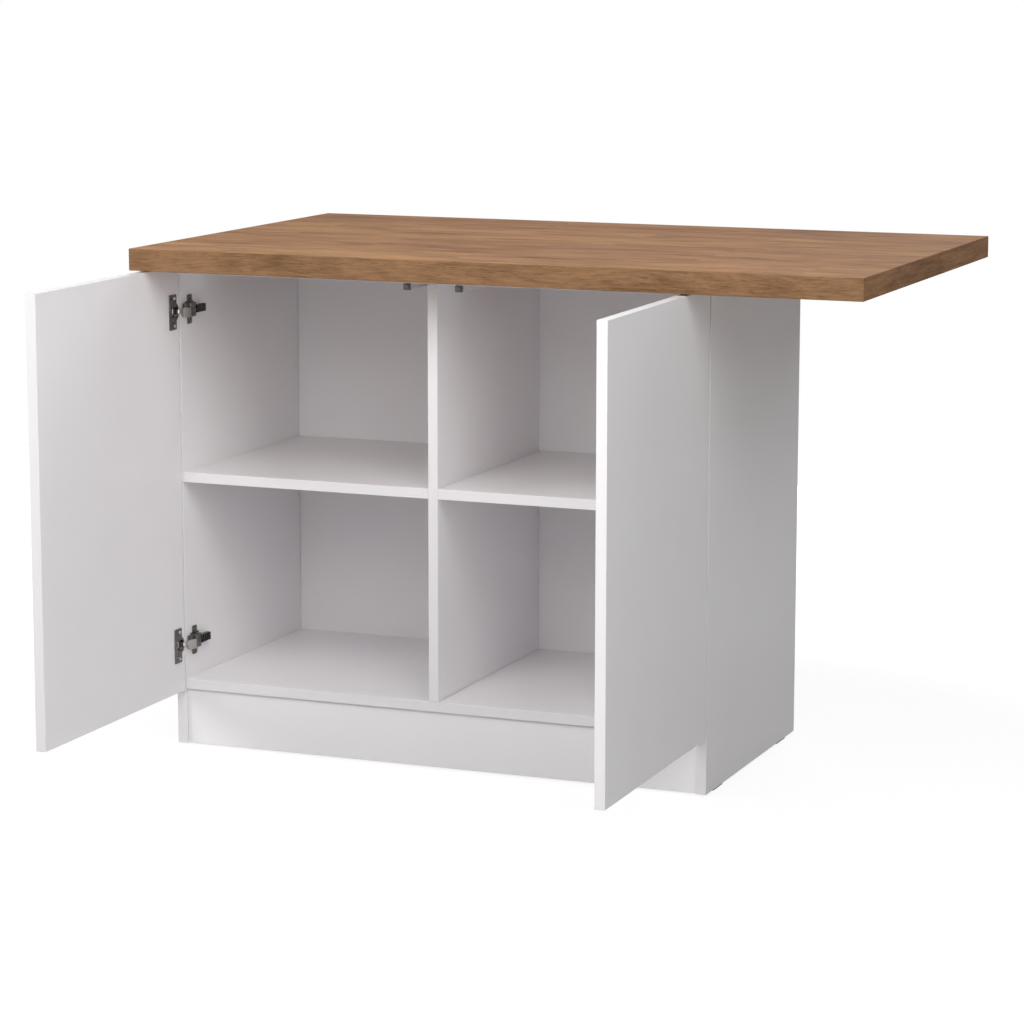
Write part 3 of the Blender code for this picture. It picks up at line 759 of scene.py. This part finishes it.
@dataclass
class CupHinge:
    """A concealed hinge: drawn cup in the door, bent arm and winged plate in the cabinet.

    Its own axes start at the pin: X out of the side panel, Y into the cabinet, Z up.
    """

    side: Side
    level: str
    turned: float
    face: float = 9.25 * MM
    seat: float = 0.3 * MM
    cup_back: float = -13.55 * MM
    mouth: float = 15.0 * MM
    # Each rectangle has its lowest and highest corner and the radius of its corners
    wing: Rectangle = ((-31.05 * MM, -31.0 * MM), (-5.05 * MM, 31.0 * MM), 2 * MM)
    bulge: float = 17.4 * MM
    flange: float = 1.6 * MM
    rim_edge: float = 0.35 * MM
    opening: Rectangle = ((-20.5 * MM, -9.2 * MM), (1.4 * MM, 9.2 * MM), 3 * MM)
    floor: float = -2.5 * MM
    bottom: float = -3.4 * MM
    cup_screw_height: float = 24 * MM
    bowl_wall: float = 1.6 * MM
    bowl_lip: float = 0.5 * MM
    lug_inner: float = 4.3 * MM
    lug_outer: float = 5.6 * MM
    lug_low: float = -3.4 * MM
    lug_high: float = 0.2 * MM
    lug_reach: float = 1.2 * MM
    lug_round: float = 2.5 * MM
    eye_middle: float = -0.4 * MM
    eye: float = 2.1 * MM
    eye_half: float = 3.5 * MM
    arm_thickness: float = 1.5 * MM
    arm_edge: float = 0.3 * MM
    arm_foot: float = 0.3 * MM
    arm_top: float = 21.0 * MM
    arm_low: float = -12.25 * MM
    arm_high: float = 5.25 * MM
    arm_wall: float = 1.2 * MM
    arm_wall_edge: float = 0.15 * MM
    neck: float = 13.5 * MM
    neck_round: float = 3 * MM
    arm_end: float = 30.6 * MM
    clip_start: float = 52.4 * MM
    clip_half: float = 6.8 * MM
    clip_edge: float = 0.25 * MM
    grooves: int = 4
    groove_start: float = 4 * MM
    groove_pitch: float = 7 * MM
    groove_depth: float = 2.4 * MM
    tail: float = 87.2 * MM
    plate_thickness: float = 2.0 * MM
    plate_front: float = 36.25 * MM
    plate_back: float = 52.25 * MM
    plate_half: float = 26 * MM
    plate_edge: float = 0.3 * MM
    wing_round: float = 2.5 * MM
    shoulder: float = 14.5 * MM
    shoulder_front: float = 8 * MM
    shoulder_back: float = 7 * MM
    shoulder_round: float = 3 * MM
    slot: Rectangle = ((42.05 * MM, 15.5 * MM), (46.45 * MM, 22.5 * MM), 2.1 * MM)
    body: Rectangle = ((31 * MM, -12.5 * MM), (51.8 * MM, 12.5 * MM), 1.5 * MM)
    body_top: float = 20.4 * MM
    body_edge: float = 0.8 * MM
    bar: Rectangle = ((15.5 * MM, 5.6 * MM), (31 * MM - FORM_GAP, 12.5 * MM), 1.2 * MM)
    bar_lift: float = 0.4 * MM
    bar_top: float = 17.4 * MM
    rail: Rectangle = ((59.25 * MM + PIECE_GAP, -6 * MM), (78.25 * MM, 6 * MM), 2 * MM)
    rail_height: float = 6 * MM
    rail_edge: float = 0.6 * MM
    plate_screw_height: float = 21 * MM
    screw_radius: float = 3.4 * MM
    screw_height: float = 1.5 * MM
    # Where the arm's screws stand along it, and their radius
    arm_screws: tuple[Point2, ...] = ((46.3 * MM, 3.6 * MM), (36.5 * MM, 2.9 * MM))

    @property
    def name(self) -> str:
        """The hinge's name, as its nodes start."""
        return f"{self.side.word}_{self.level}_hinge"

    def place(self, on_door: bool) -> Matrix:
        """Give the matrix from the hinge's own axes to the frame.

        Args:
            on_door: whether it turns with the door.

        Returns:
            The matrix.
        """
        low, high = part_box(f"{self.name}_pin")
        turn = Matrix.Rotation(self.turned if on_door else 0.0, 4, "Z")
        return Matrix.Translation((low + high) / 2) @ turn @ Matrix.Diagonal((self.side.value, 1, 1, 1))

    def flange_outline(self) -> list[Point2]:
        """Outline of the flange: a tall plate that bulges round the cup towards the hinge edge.

        Returns:
            The outline's points.
        """
        step = self.wing[1][0] - self.cup_back
        half = math.degrees(math.acos(step / self.bulge))
        return arc((self.cup_back, 0.0), self.bulge, -half, half, SMALL_STEPS) + rounded(*self.wing)

    def build_cup(self) -> None:
        """Build the flange with the lugs beside the arm's eye, and the drawn bowl under it."""
        door, seat = f"{self.side.word}_door", self.face + self.seat
        shape = Shape()
        hole = rounded(*self.opening)
        shape.prism(self.flange_outline(), seat, seat + self.flange, OUT_OF_SIDE, [hole], self.rim_edge)
        lug = [(self.floor, self.lug_low), (self.lug_reach, self.lug_low)]
        lug += arc((0.0, self.eye_middle), self.lug_round, -40, 75, CORNER_STEPS)
        lug.append((self.floor, self.lug_high))
        for low, high in ((self.lug_inner, self.lug_outer), (-self.lug_outer, -self.lug_inner)):
            shape.prism(lug, low, high)
        cup = shape.piece(f"{self.name}_cup_stamping", NICKEL, self.place(True))
        mount(cup, door, "hinges", f"{self.name}_cup")
        wall, lip, under = self.mouth + self.bowl_wall, self.mouth + self.bowl_lip, seat - PIECE_GAP
        profile = [
            (0.0, self.bottom),
            (wall - 2.6 * MM, self.bottom),
            (wall - 0.7 * MM, self.bottom + 1.2 * MM),
            (wall, self.bottom + 3.4 * MM),
            (wall, under),
            (lip, under),
            (lip, self.floor + 2.6 * MM),
            (self.mouth - 1.4 * MM, self.floor),
            (0.0, self.floor),
        ]
        bowl = Shape()
        bowl.turn(profile, ROUND_STEPS, Matrix.Translation((0, self.cup_back, 0)) @ OUT_OF_SIDE)
        mount(bowl.piece(f"{self.name}_cup_bowl", POLISHED, self.place(True)), door, "hinges")

    def arm_line(self) -> list[tuple[float, float, float, float]]:
        """Middle line of the arm with its edges: pin, gooseneck, then the wide sloping front.

        Returns:
            (x, y, lower edge, upper edge) of each point.
        """
        slim, start, neck, top = self.eye_half, self.eye_middle, self.neck, self.arm_top
        low, high = self.arm_low, self.arm_high
        line = [(1.6 * MM, start, -slim, slim)]
        bend = self.neck_round
        line += [(x, y, -slim, slim) for x, y in arc((neck - bend, start + bend), bend, -90, 0, CORNER_STEPS)]
        line.append((neck, 10.8 * MM, -slim - 0.4 * MM, slim + 0.4 * MM))
        line.append((neck + 0.3 * MM, 12.4 * MM, -slim - 1.2 * MM, slim + 0.9 * MM))
        line.append((neck + 0.8 * MM, 13.5 * MM, low + 3.2 * MM, high - 0.3 * MM))
        line.append((neck + 1.4 * MM, 14.7 * MM, low + 0.8 * MM, high))
        line.append((neck + 2.8 * MM, 17.2 * MM, low, high))
        line.append((top - 1.8 * MM, 22.6 * MM, low, high))
        line.append((top - 0.5 * MM, 26.2 * MM, low, high))
        line.append((top, self.arm_end, low, high))
        return line

    def build_arm(self) -> None:
        """Build the stamped arm with its walls, and the two adjusting screws behind it."""
        shape = Shape()
        shape.strip(self.arm_line(), self.arm_thickness, self.arm_edge)
        eye, half = self.eye, self.eye_half
        shape.turn([(0.0, -half), (eye, -half), (eye, half), (0.0, half)], SMALL_STEPS)
        under = self.arm_top - self.arm_thickness / 2 - PIECE_GAP
        foot = self.face + self.seat + self.plate_thickness + self.arm_foot
        wall = [
            (under, self.arm_end),
            (foot, self.arm_end),
            (foot, 15.4 * MM),
            (foot + 1.6 * MM, 15.4 * MM),
            (under - 1.8 * MM, 22.9 * MM),
            (under - 0.5 * MM, 26.4 * MM),
        ]
        for low in (self.arm_low + FORM_GAP, self.arm_high - self.arm_wall - FORM_GAP):
            shape.prism(wall, low, low + self.arm_wall, edge=self.arm_wall_edge)
        arm = shape.piece(f"{self.name}_arm_channel", POLISHED, self.place(False))
        mount(arm, "carcass", "hinges", f"{self.name}_arm")
        screws = Shape()
        for along, radius in self.arm_screws:
            at = Matrix.Translation((self.body_top, along, 0)) @ OUT_OF_SIDE
            screws.crossed_head(radius, self.screw_height, at)
        mount(screws.piece(f"{self.name}_arm_screw_heads", NICKEL, self.place(False)), "carcass", "screws")

    def build_clip(self) -> None:
        """Build the ridged clip lever behind the plate's body."""
        foot, top = self.face + self.seat + self.plate_thickness + 1.0 * MM, self.arm_top + 0.6 * MM
        start, end, dip = self.clip_start, self.tail, top - self.groove_depth
        side = [(foot, start), (top, start)]
        for groove in range(self.grooves):
            y = start + self.groove_start + self.groove_pitch * groove
            side += [(top, y), (dip, y + 1.2 * MM), (dip, y + 3 * MM), (top, y + 4.2 * MM)]
        side += [(top, end - 1 * MM), (top - 1 * MM, end), (foot + 2 * MM, end), (foot, end - 2 * MM)]
        shape = Shape()
        shape.prism(side, -self.clip_half, self.clip_half, edge=self.clip_edge)
        mount(shape.piece(f"{self.name}_arm_clip", BLACKED, self.place(False)), "carcass", "hinges")

    def build_plate(self) -> None:
        """Build the mounting plate: a cross with slotted wings, its raised body with a bar, and the rail."""
        shape = Shape()
        base = self.face + self.seat
        step = base + self.plate_thickness
        left, right, tip = self.plate_front, self.plate_back, self.plate_half
        low, high, shoulder = left - self.shoulder_front, right + self.shoulder_back, self.shoulder
        bend, curve = self.shoulder_round, self.wing_round
        half = arc((high - bend, shoulder - bend), bend, 0, 90, CORNER_STEPS)
        half.append((right, shoulder))
        half += arc((right - curve, tip - curve), curve, 0, 90, CORNER_STEPS)
        half += arc((left + curve, tip - curve), curve, 90, 180, CORNER_STEPS)
        half.append((left, shoulder))
        half += arc((low + bend, shoulder - bend), bend, 90, 180, CORNER_STEPS)
        cross = half + [(u, -v) for u, v in reversed(half)]
        slot = rounded(*self.slot)
        other = [(u, -v) for u, v in reversed(slot)]
        shape.prism(cross, base, step, OUT_OF_SIDE, [slot, other], self.plate_edge)
        shape.prism(rounded(*self.body), step + FORM_GAP, self.body_top, OUT_OF_SIDE, edge=self.body_edge)
        shape.prism(rounded(*self.bar), step + self.bar_lift, self.bar_top, OUT_OF_SIDE, edge=self.rail_edge)
        shape.prism(rounded(*self.rail), base, base + self.rail_height, OUT_OF_SIDE, edge=self.rail_edge)
        plate = shape.piece(f"{self.name}_plate_wings", NICKEL, self.place(False))
        mount(plate, "carcass", "hinges", f"{self.name}_plate")

    def build_screws(self) -> None:
        """Build the crossed heads of the cup's and the plate's screws."""
        flange = self.face + self.seat + self.flange
        plate = self.face + self.seat + self.plate_thickness
        middle = (self.plate_front + self.plate_back) / 2
        rows = (
            ("cup", True, f"{self.side.word}_door", ZINC, flange, self.cup_back, self.cup_screw_height),
            ("plate", False, "carcass", NICKEL, plate, middle, self.plate_screw_height),
        )
        for part, on_door, body, finish, out, along, height in rows:
            for end, way in (("top", 1), ("bottom", -1)):
                shape = Shape()
                at = Matrix.Translation((out + PIECE_GAP, along, way * height)) @ OUT_OF_SIDE
                shape.crossed_head(self.screw_radius, self.screw_height, at)
                node = f"{self.name}_{part}_{end}_screw"
                mount(shape.piece(f"{node}_head", finish, self.place(on_door)), body, "screws", node)

    def build(self) -> None:
        """Build the hinge's pieces and dress its pin."""
        self.build_cup()
        self.build_arm()
        self.build_clip()
        self.build_plate()
        self.build_screws()
        dress(f"{self.name}_pin", POLISHED)


@dataclass
class PushLatch:
    """A push latch under the front rail: a moulded housing and its sprung plunger."""

    side: Side
    corner: float = 2.2 * MM
    edge: float = 0.5 * MM
    bore: float = 5.1 * MM
    bore_depth: float = 9 * MM
    collar: float = 0.6 * MM
    cap: float = 2.6 * MM
    screw_inset: float = 16 * MM
    screw_radius: float = 2.7 * MM
    screw_height: float = 1.2 * MM

    def build(self) -> None:
        """Build the housing, its screws and the plunger."""
        self.build_housing()
        self.build_plunger()

    def build_housing(self) -> None:
        """Build the housing with its bore, its dark front cap, and the screws that hold it up."""
        node = f"{self.side.word}_latch_housing"
        low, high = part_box(node)
        middle = (low + high) / 2
        outline = rounded((low.z, low.x), (high.z, high.x), self.corner)
        bore = circle(self.bore, SMALL_STEPS, (middle.z, middle.x))
        front = low.y + self.cap
        cap = Shape()
        cap.prism(outline, low.y, front, OUT_OF_FRONT, [bore], self.edge)
        mount(cap.piece(f"{node}_cap", DARK_ACETAL), "carcass", "latch_housings")
        slim = inset(outline, self.edge)
        groove = inset(outline, self.collar)
        rows = [
            (slim, front + PIECE_GAP),
            (outline, front + self.edge),
            (outline, low.y + 8 * MM),
            (groove, low.y + 8.4 * MM),
            (groove, high.y - 4 * MM),
            (outline, high.y - 3.6 * MM),
            (outline, high.y - self.edge),
            (slim, high.y),
        ]
        shape = Shape()
        rings = [shape.ring(points, depth, OUT_OF_FRONT) for points, depth in rows]
        shape.bridge(*rings)
        shape.fill(rings[-1])
        walls = [shape.ring(bore, depth, OUT_OF_FRONT) for depth in (rows[0][1], low.y + self.bore_depth)]
        shape.fill(rings[0], walls[0])
        shape.bridge(*walls)
        shape.fill(walls[-1])
        mount(shape.piece(f"{node}_shell", GREY_ABS), "carcass", "latch_housings", node)
        screws = Shape()
        for y in (low.y + self.screw_inset, high.y - self.screw_inset):
            at = Matrix.Translation((middle.x, y, low.z + self.collar)) @ DOWNWARD
            screws.crossed_head(self.screw_radius, self.screw_height, at)
        mount(screws.piece(f"{node}_screw_heads", ZINC), "carcass", "screws")

    def build_plunger(self) -> None:
        """Build the plunger with its rounded, dished head."""
        node = f"{self.side.word}_latch_plunger"
        low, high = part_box(node)
        middle = (low + high) / 2
        head = (high.x - low.x) / 2
        rod, length = head - 1.2 * MM, high.y - low.y
        profile = [
            (0.0, 0.5 * MM),
            (head * 0.45, 0.45 * MM),
            (head * 0.62, 0.05 * MM),
            (head * 0.78, 0.0),
            (head * 0.92, 0.2 * MM),
            (head, 0.9 * MM),
            (head, 3.2 * MM),
            (head - 0.3 * MM, 3.5 * MM),
            (rod, 3.5 * MM),
            (rod, length - 0.5 * MM),
            (rod - 0.5 * MM, length),
            (0.0, length),
        ]
        shape = Shape()
        shape.turn(profile, SMALL_STEPS, Matrix.Translation((middle.x, low.y, middle.z)) @ OUT_OF_FRONT)
        mount(shape.piece(f"{node}_pin", DARK_ACETAL), f"{self.side.word}_plunger", "latch_plungers", node)


@dataclass
class Glide:
    """A pad that a side panel stands on."""

    node: str
    corner: float = 4 * MM
    edge: float = 0.25 * MM

    def build(self) -> None:
        """Build the pad with round corners and chamfered rims."""
        low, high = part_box(self.node)
        shape = Shape()
        shape.prism(rounded(low.xy, high.xy, self.corner), low.z, high.z, edge=self.edge)
        mount(shape.piece(f"{self.node}_pad", BLACK_PE), "carcass", "glides", self.node)


@dataclass
class WorktopScrew:
    """A screw up through a rail into the worktop; only its head shows."""

    node: str
    head_height: float = 3 * MM

    def build(self) -> None:
        """Build the crossed head, facing down."""
        low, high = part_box(self.node)
        middle = (low + high) / 2
        shape = Shape()
        at = Matrix.Translation((middle.x, middle.y, low.z + self.head_height)) @ DOWNWARD
        shape.crossed_head((high.x - low.x) / 2, self.head_height, at)
        mount(shape.piece(f"{self.node}_head", ZINC), "carcass", "screws", self.node)


@dataclass(frozen=True)
class Softbox:
    """A square lamp that faces the island; its azimuth runs from the front to the right."""

    name: str
    azimuth: float
    elevation: float
    distance: float
    size: float
    power: float
    aim: Point3 = (-0.1, 0.1, 0.45)

    def build(self) -> None:
        """Hang the lamp."""
        data = bpy.data.lights.new(self.name, "AREA")
        data.size = self.size
        data.energy = self.power
        lamp = bpy.data.objects.new(self.name, data)
        turn, rise = math.radians(self.azimuth), math.radians(self.elevation)
        way = Vector((math.sin(turn) * math.cos(rise), -math.cos(turn) * math.cos(rise), math.sin(rise)))
        lamp.location = Vector(self.aim) + way * self.distance
        lamp.rotation_euler = way.to_track_quat("Z", "Y").to_euler()
        bpy.context.scene.collection.objects.link(lamp)


@dataclass
class Studio:
    """White sweep, soft lamps and the camera at the picture's viewing angle."""

    lamps: tuple[Softbox, ...]
    ambient: float = 0.02
    floor_radius: float = 4.0
    floor_height: float = -0.3 * MM
    floor_white: str = "#b4b4b4"
    floor_shade: str = "#767676"
    floor_fill: float = 0.86
    shadow_start: float = 0.9
    shadow_end: float = 1.5
    camera_place: Point3 = (2.08879, -5.25673, 1.43172)
    camera_yaw: float = 21.9642
    camera_pitch: float = 9.8292
    camera_roll: float = 0.0554
    camera_lens: float = 116.826

    def seen(self, add: Adder) -> bpy.types.NodeSocket:
        """Tell what the camera, a mirror or glass sees from what lights the island.

        Args:
            add: adds a node to the material or the world.

        Returns:
            A socket that is one for what is seen and zero for lighting.
        """
        path = add("LightPath")
        mirror = {0: path["Is Camera Ray"], 1: path["Is Glossy Ray"]}
        either = add("Math", mirror, operation="MAXIMUM")[0]
        glass = {0: either, 1: path["Is Transmission Ray"]}
        return add("Math", glass, operation="MAXIMUM")[0]

    def build_world(self) -> None:
        """Make the surroundings white to look at and weak as a light."""
        world = bpy.data.worlds.new("white_studio")
        world.use_nodes = True
        add = partial(add_node, world.node_tree)
        spread = {"Value": self.seen(add), "To Min": self.ambient, "To Max": 1.0}
        strength = add("MapRange", spread)[0]
        feed(world.node_tree.nodes["Background"], {"Strength": strength, "Color": (1.0, 1.0, 1.0, 1.0)})
        bpy.context.scene.world = world

    def build_floor(self) -> None:
        """Lay a white floor that keeps a faint shadow near the island and fades to plain white."""
        shape = Shape()
        shape.fill(shape.ring(circle(self.floor_radius, ROUND_STEPS), self.floor_height))
        material = bpy.data.materials.new("white_paper_sweep")
        material.use_nodes = True
        nodes, add = material.node_tree.nodes, partial(add_node, material.node_tree)
        nodes.remove(nodes["Principled BSDF"])
        point = add("TexCoord")["Object"]
        away = add("VectorMath", {0: point}, operation="LENGTH")["Value"]
        fade = {"Value": away, "From Min": self.shadow_start, "From Max": self.shadow_end}
        far = add("MapRange", fade, interpolation_type="SMOOTHSTEP")[0]
        seen = self.seen(add)
        near = {"Value": far, "To Min": self.floor_fill, "To Max": 1.0}
        fill = add("MapRange", near)[0]
        glow = add("Math", {0: fill, 1: seen}, operation="MULTIPLY")[0]
        tones = {0: seen, 6: srgb(self.floor_white), 7: srgb(self.floor_shade)}
        tone = add("Mix", tones, data_type="RGBA")[2]
        paper = add("BsdfDiffuse", {"Color": tone})[0]
        light = add("Emission", {"Strength": glow})[0]
        both = add("AddShader", {0: paper, 1: light})[0]
        feed(nodes["Material Output"], {"Surface": both})
        data = bpy.data.meshes.new("floor")
        shape.mesh.to_mesh(data)
        shape.mesh.free()
        data.materials.append(material)
        floor = bpy.data.objects.new("floor", data)
        bpy.context.scene.collection.objects.link(floor)

    def build_camera(self) -> None:
        """Set up the camera that was fitted to the picture's corners."""
        data = bpy.data.cameras.new("camera")
        data.sensor_width, data.lens = 36.0, self.camera_lens
        camera = bpy.data.objects.new("camera", data)
        yaw = Matrix.Rotation(math.radians(self.camera_yaw), 4, "Z")
        tilt = Matrix.Rotation(math.radians(90 - self.camera_pitch), 4, "X")
        roll = Matrix.Rotation(math.radians(self.camera_roll), 4, "Z")
        camera.matrix_world = Matrix.Translation(self.camera_place) @ yaw @ tilt @ roll
        bpy.context.scene.collection.objects.link(camera)
        bpy.context.scene.camera = camera

    def build(self) -> None:
        """Build the studio."""
        bpy.context.scene.view_settings.view_transform = "Standard"
        self.build_camera()
        self.build_world()
        self.build_floor()
        for lamp in self.lamps:
            lamp.build()


LAMPS = (
    Softbox("front_softbox", 0, 36, 4.0, 2.2, 32.2),
    Softbox("near_softbox", 0, 30, 2.3, 1.4, 9.2),
    Softbox("high_softbox", 15, 55, 2.3, 1.4, 8.1),
    Softbox("low_softbox", 23, 8, 2.3, 1.4, 4.0),
    Softbox("left_softbox", -62, 28, 4.0, 2.2, 85.5),
    Softbox("right_softbox", 45, 35, 4.0, 2.2, 44.1),
    Softbox("right_low_softbox", 45, 12, 4.0, 2.2, 10.3),
    Softbox("rear_softbox", 165, 45, 4.0, 2.2, 53.0),
    Softbox("back_softbox", 190, 0, 3.0, 0.8, 22.0),
)

BOARDS = {
    "left_side_panel": Axis.X,
    "right_side_panel": Axis.X,
    "centre_divider": Axis.X,
    "base_panel": Axis.Z,
    "back_panel": Axis.Y,
    "left_shelf": Axis.Z,
    "right_shelf": Axis.Z,
    "front_plinth": Axis.Y,
    "front_top_rail": Axis.Z,
    "rear_top_rail": Axis.Z,
    "left_door": Axis.X,
    "right_door": Axis.X,
}

# The right door stands half a degree further open than square
DOOR_TURN = {Side.LEFT: 0.0, Side.RIGHT: math.radians(0.5)}


def main() -> None:
    """Build the island's looks, piece by piece, then the studio."""
    logging.basicConfig(level=logging.INFO, format="%(message)s")
    Carcass(BOARDS).build()
    for side in Side:
        for level in ("upper", "lower"):
            CupHinge(side, level, DOOR_TURN[side]).build()
        PushLatch(side).build()
        for end in ("front", "rear"):
            Glide(f"{side.word}_{end}_glide").build()
            WorktopScrew(f"{end}_{side.word}_worktop_screw").build()
    Studio(LAMPS).build()


if __name__ == "__main__":
    main()
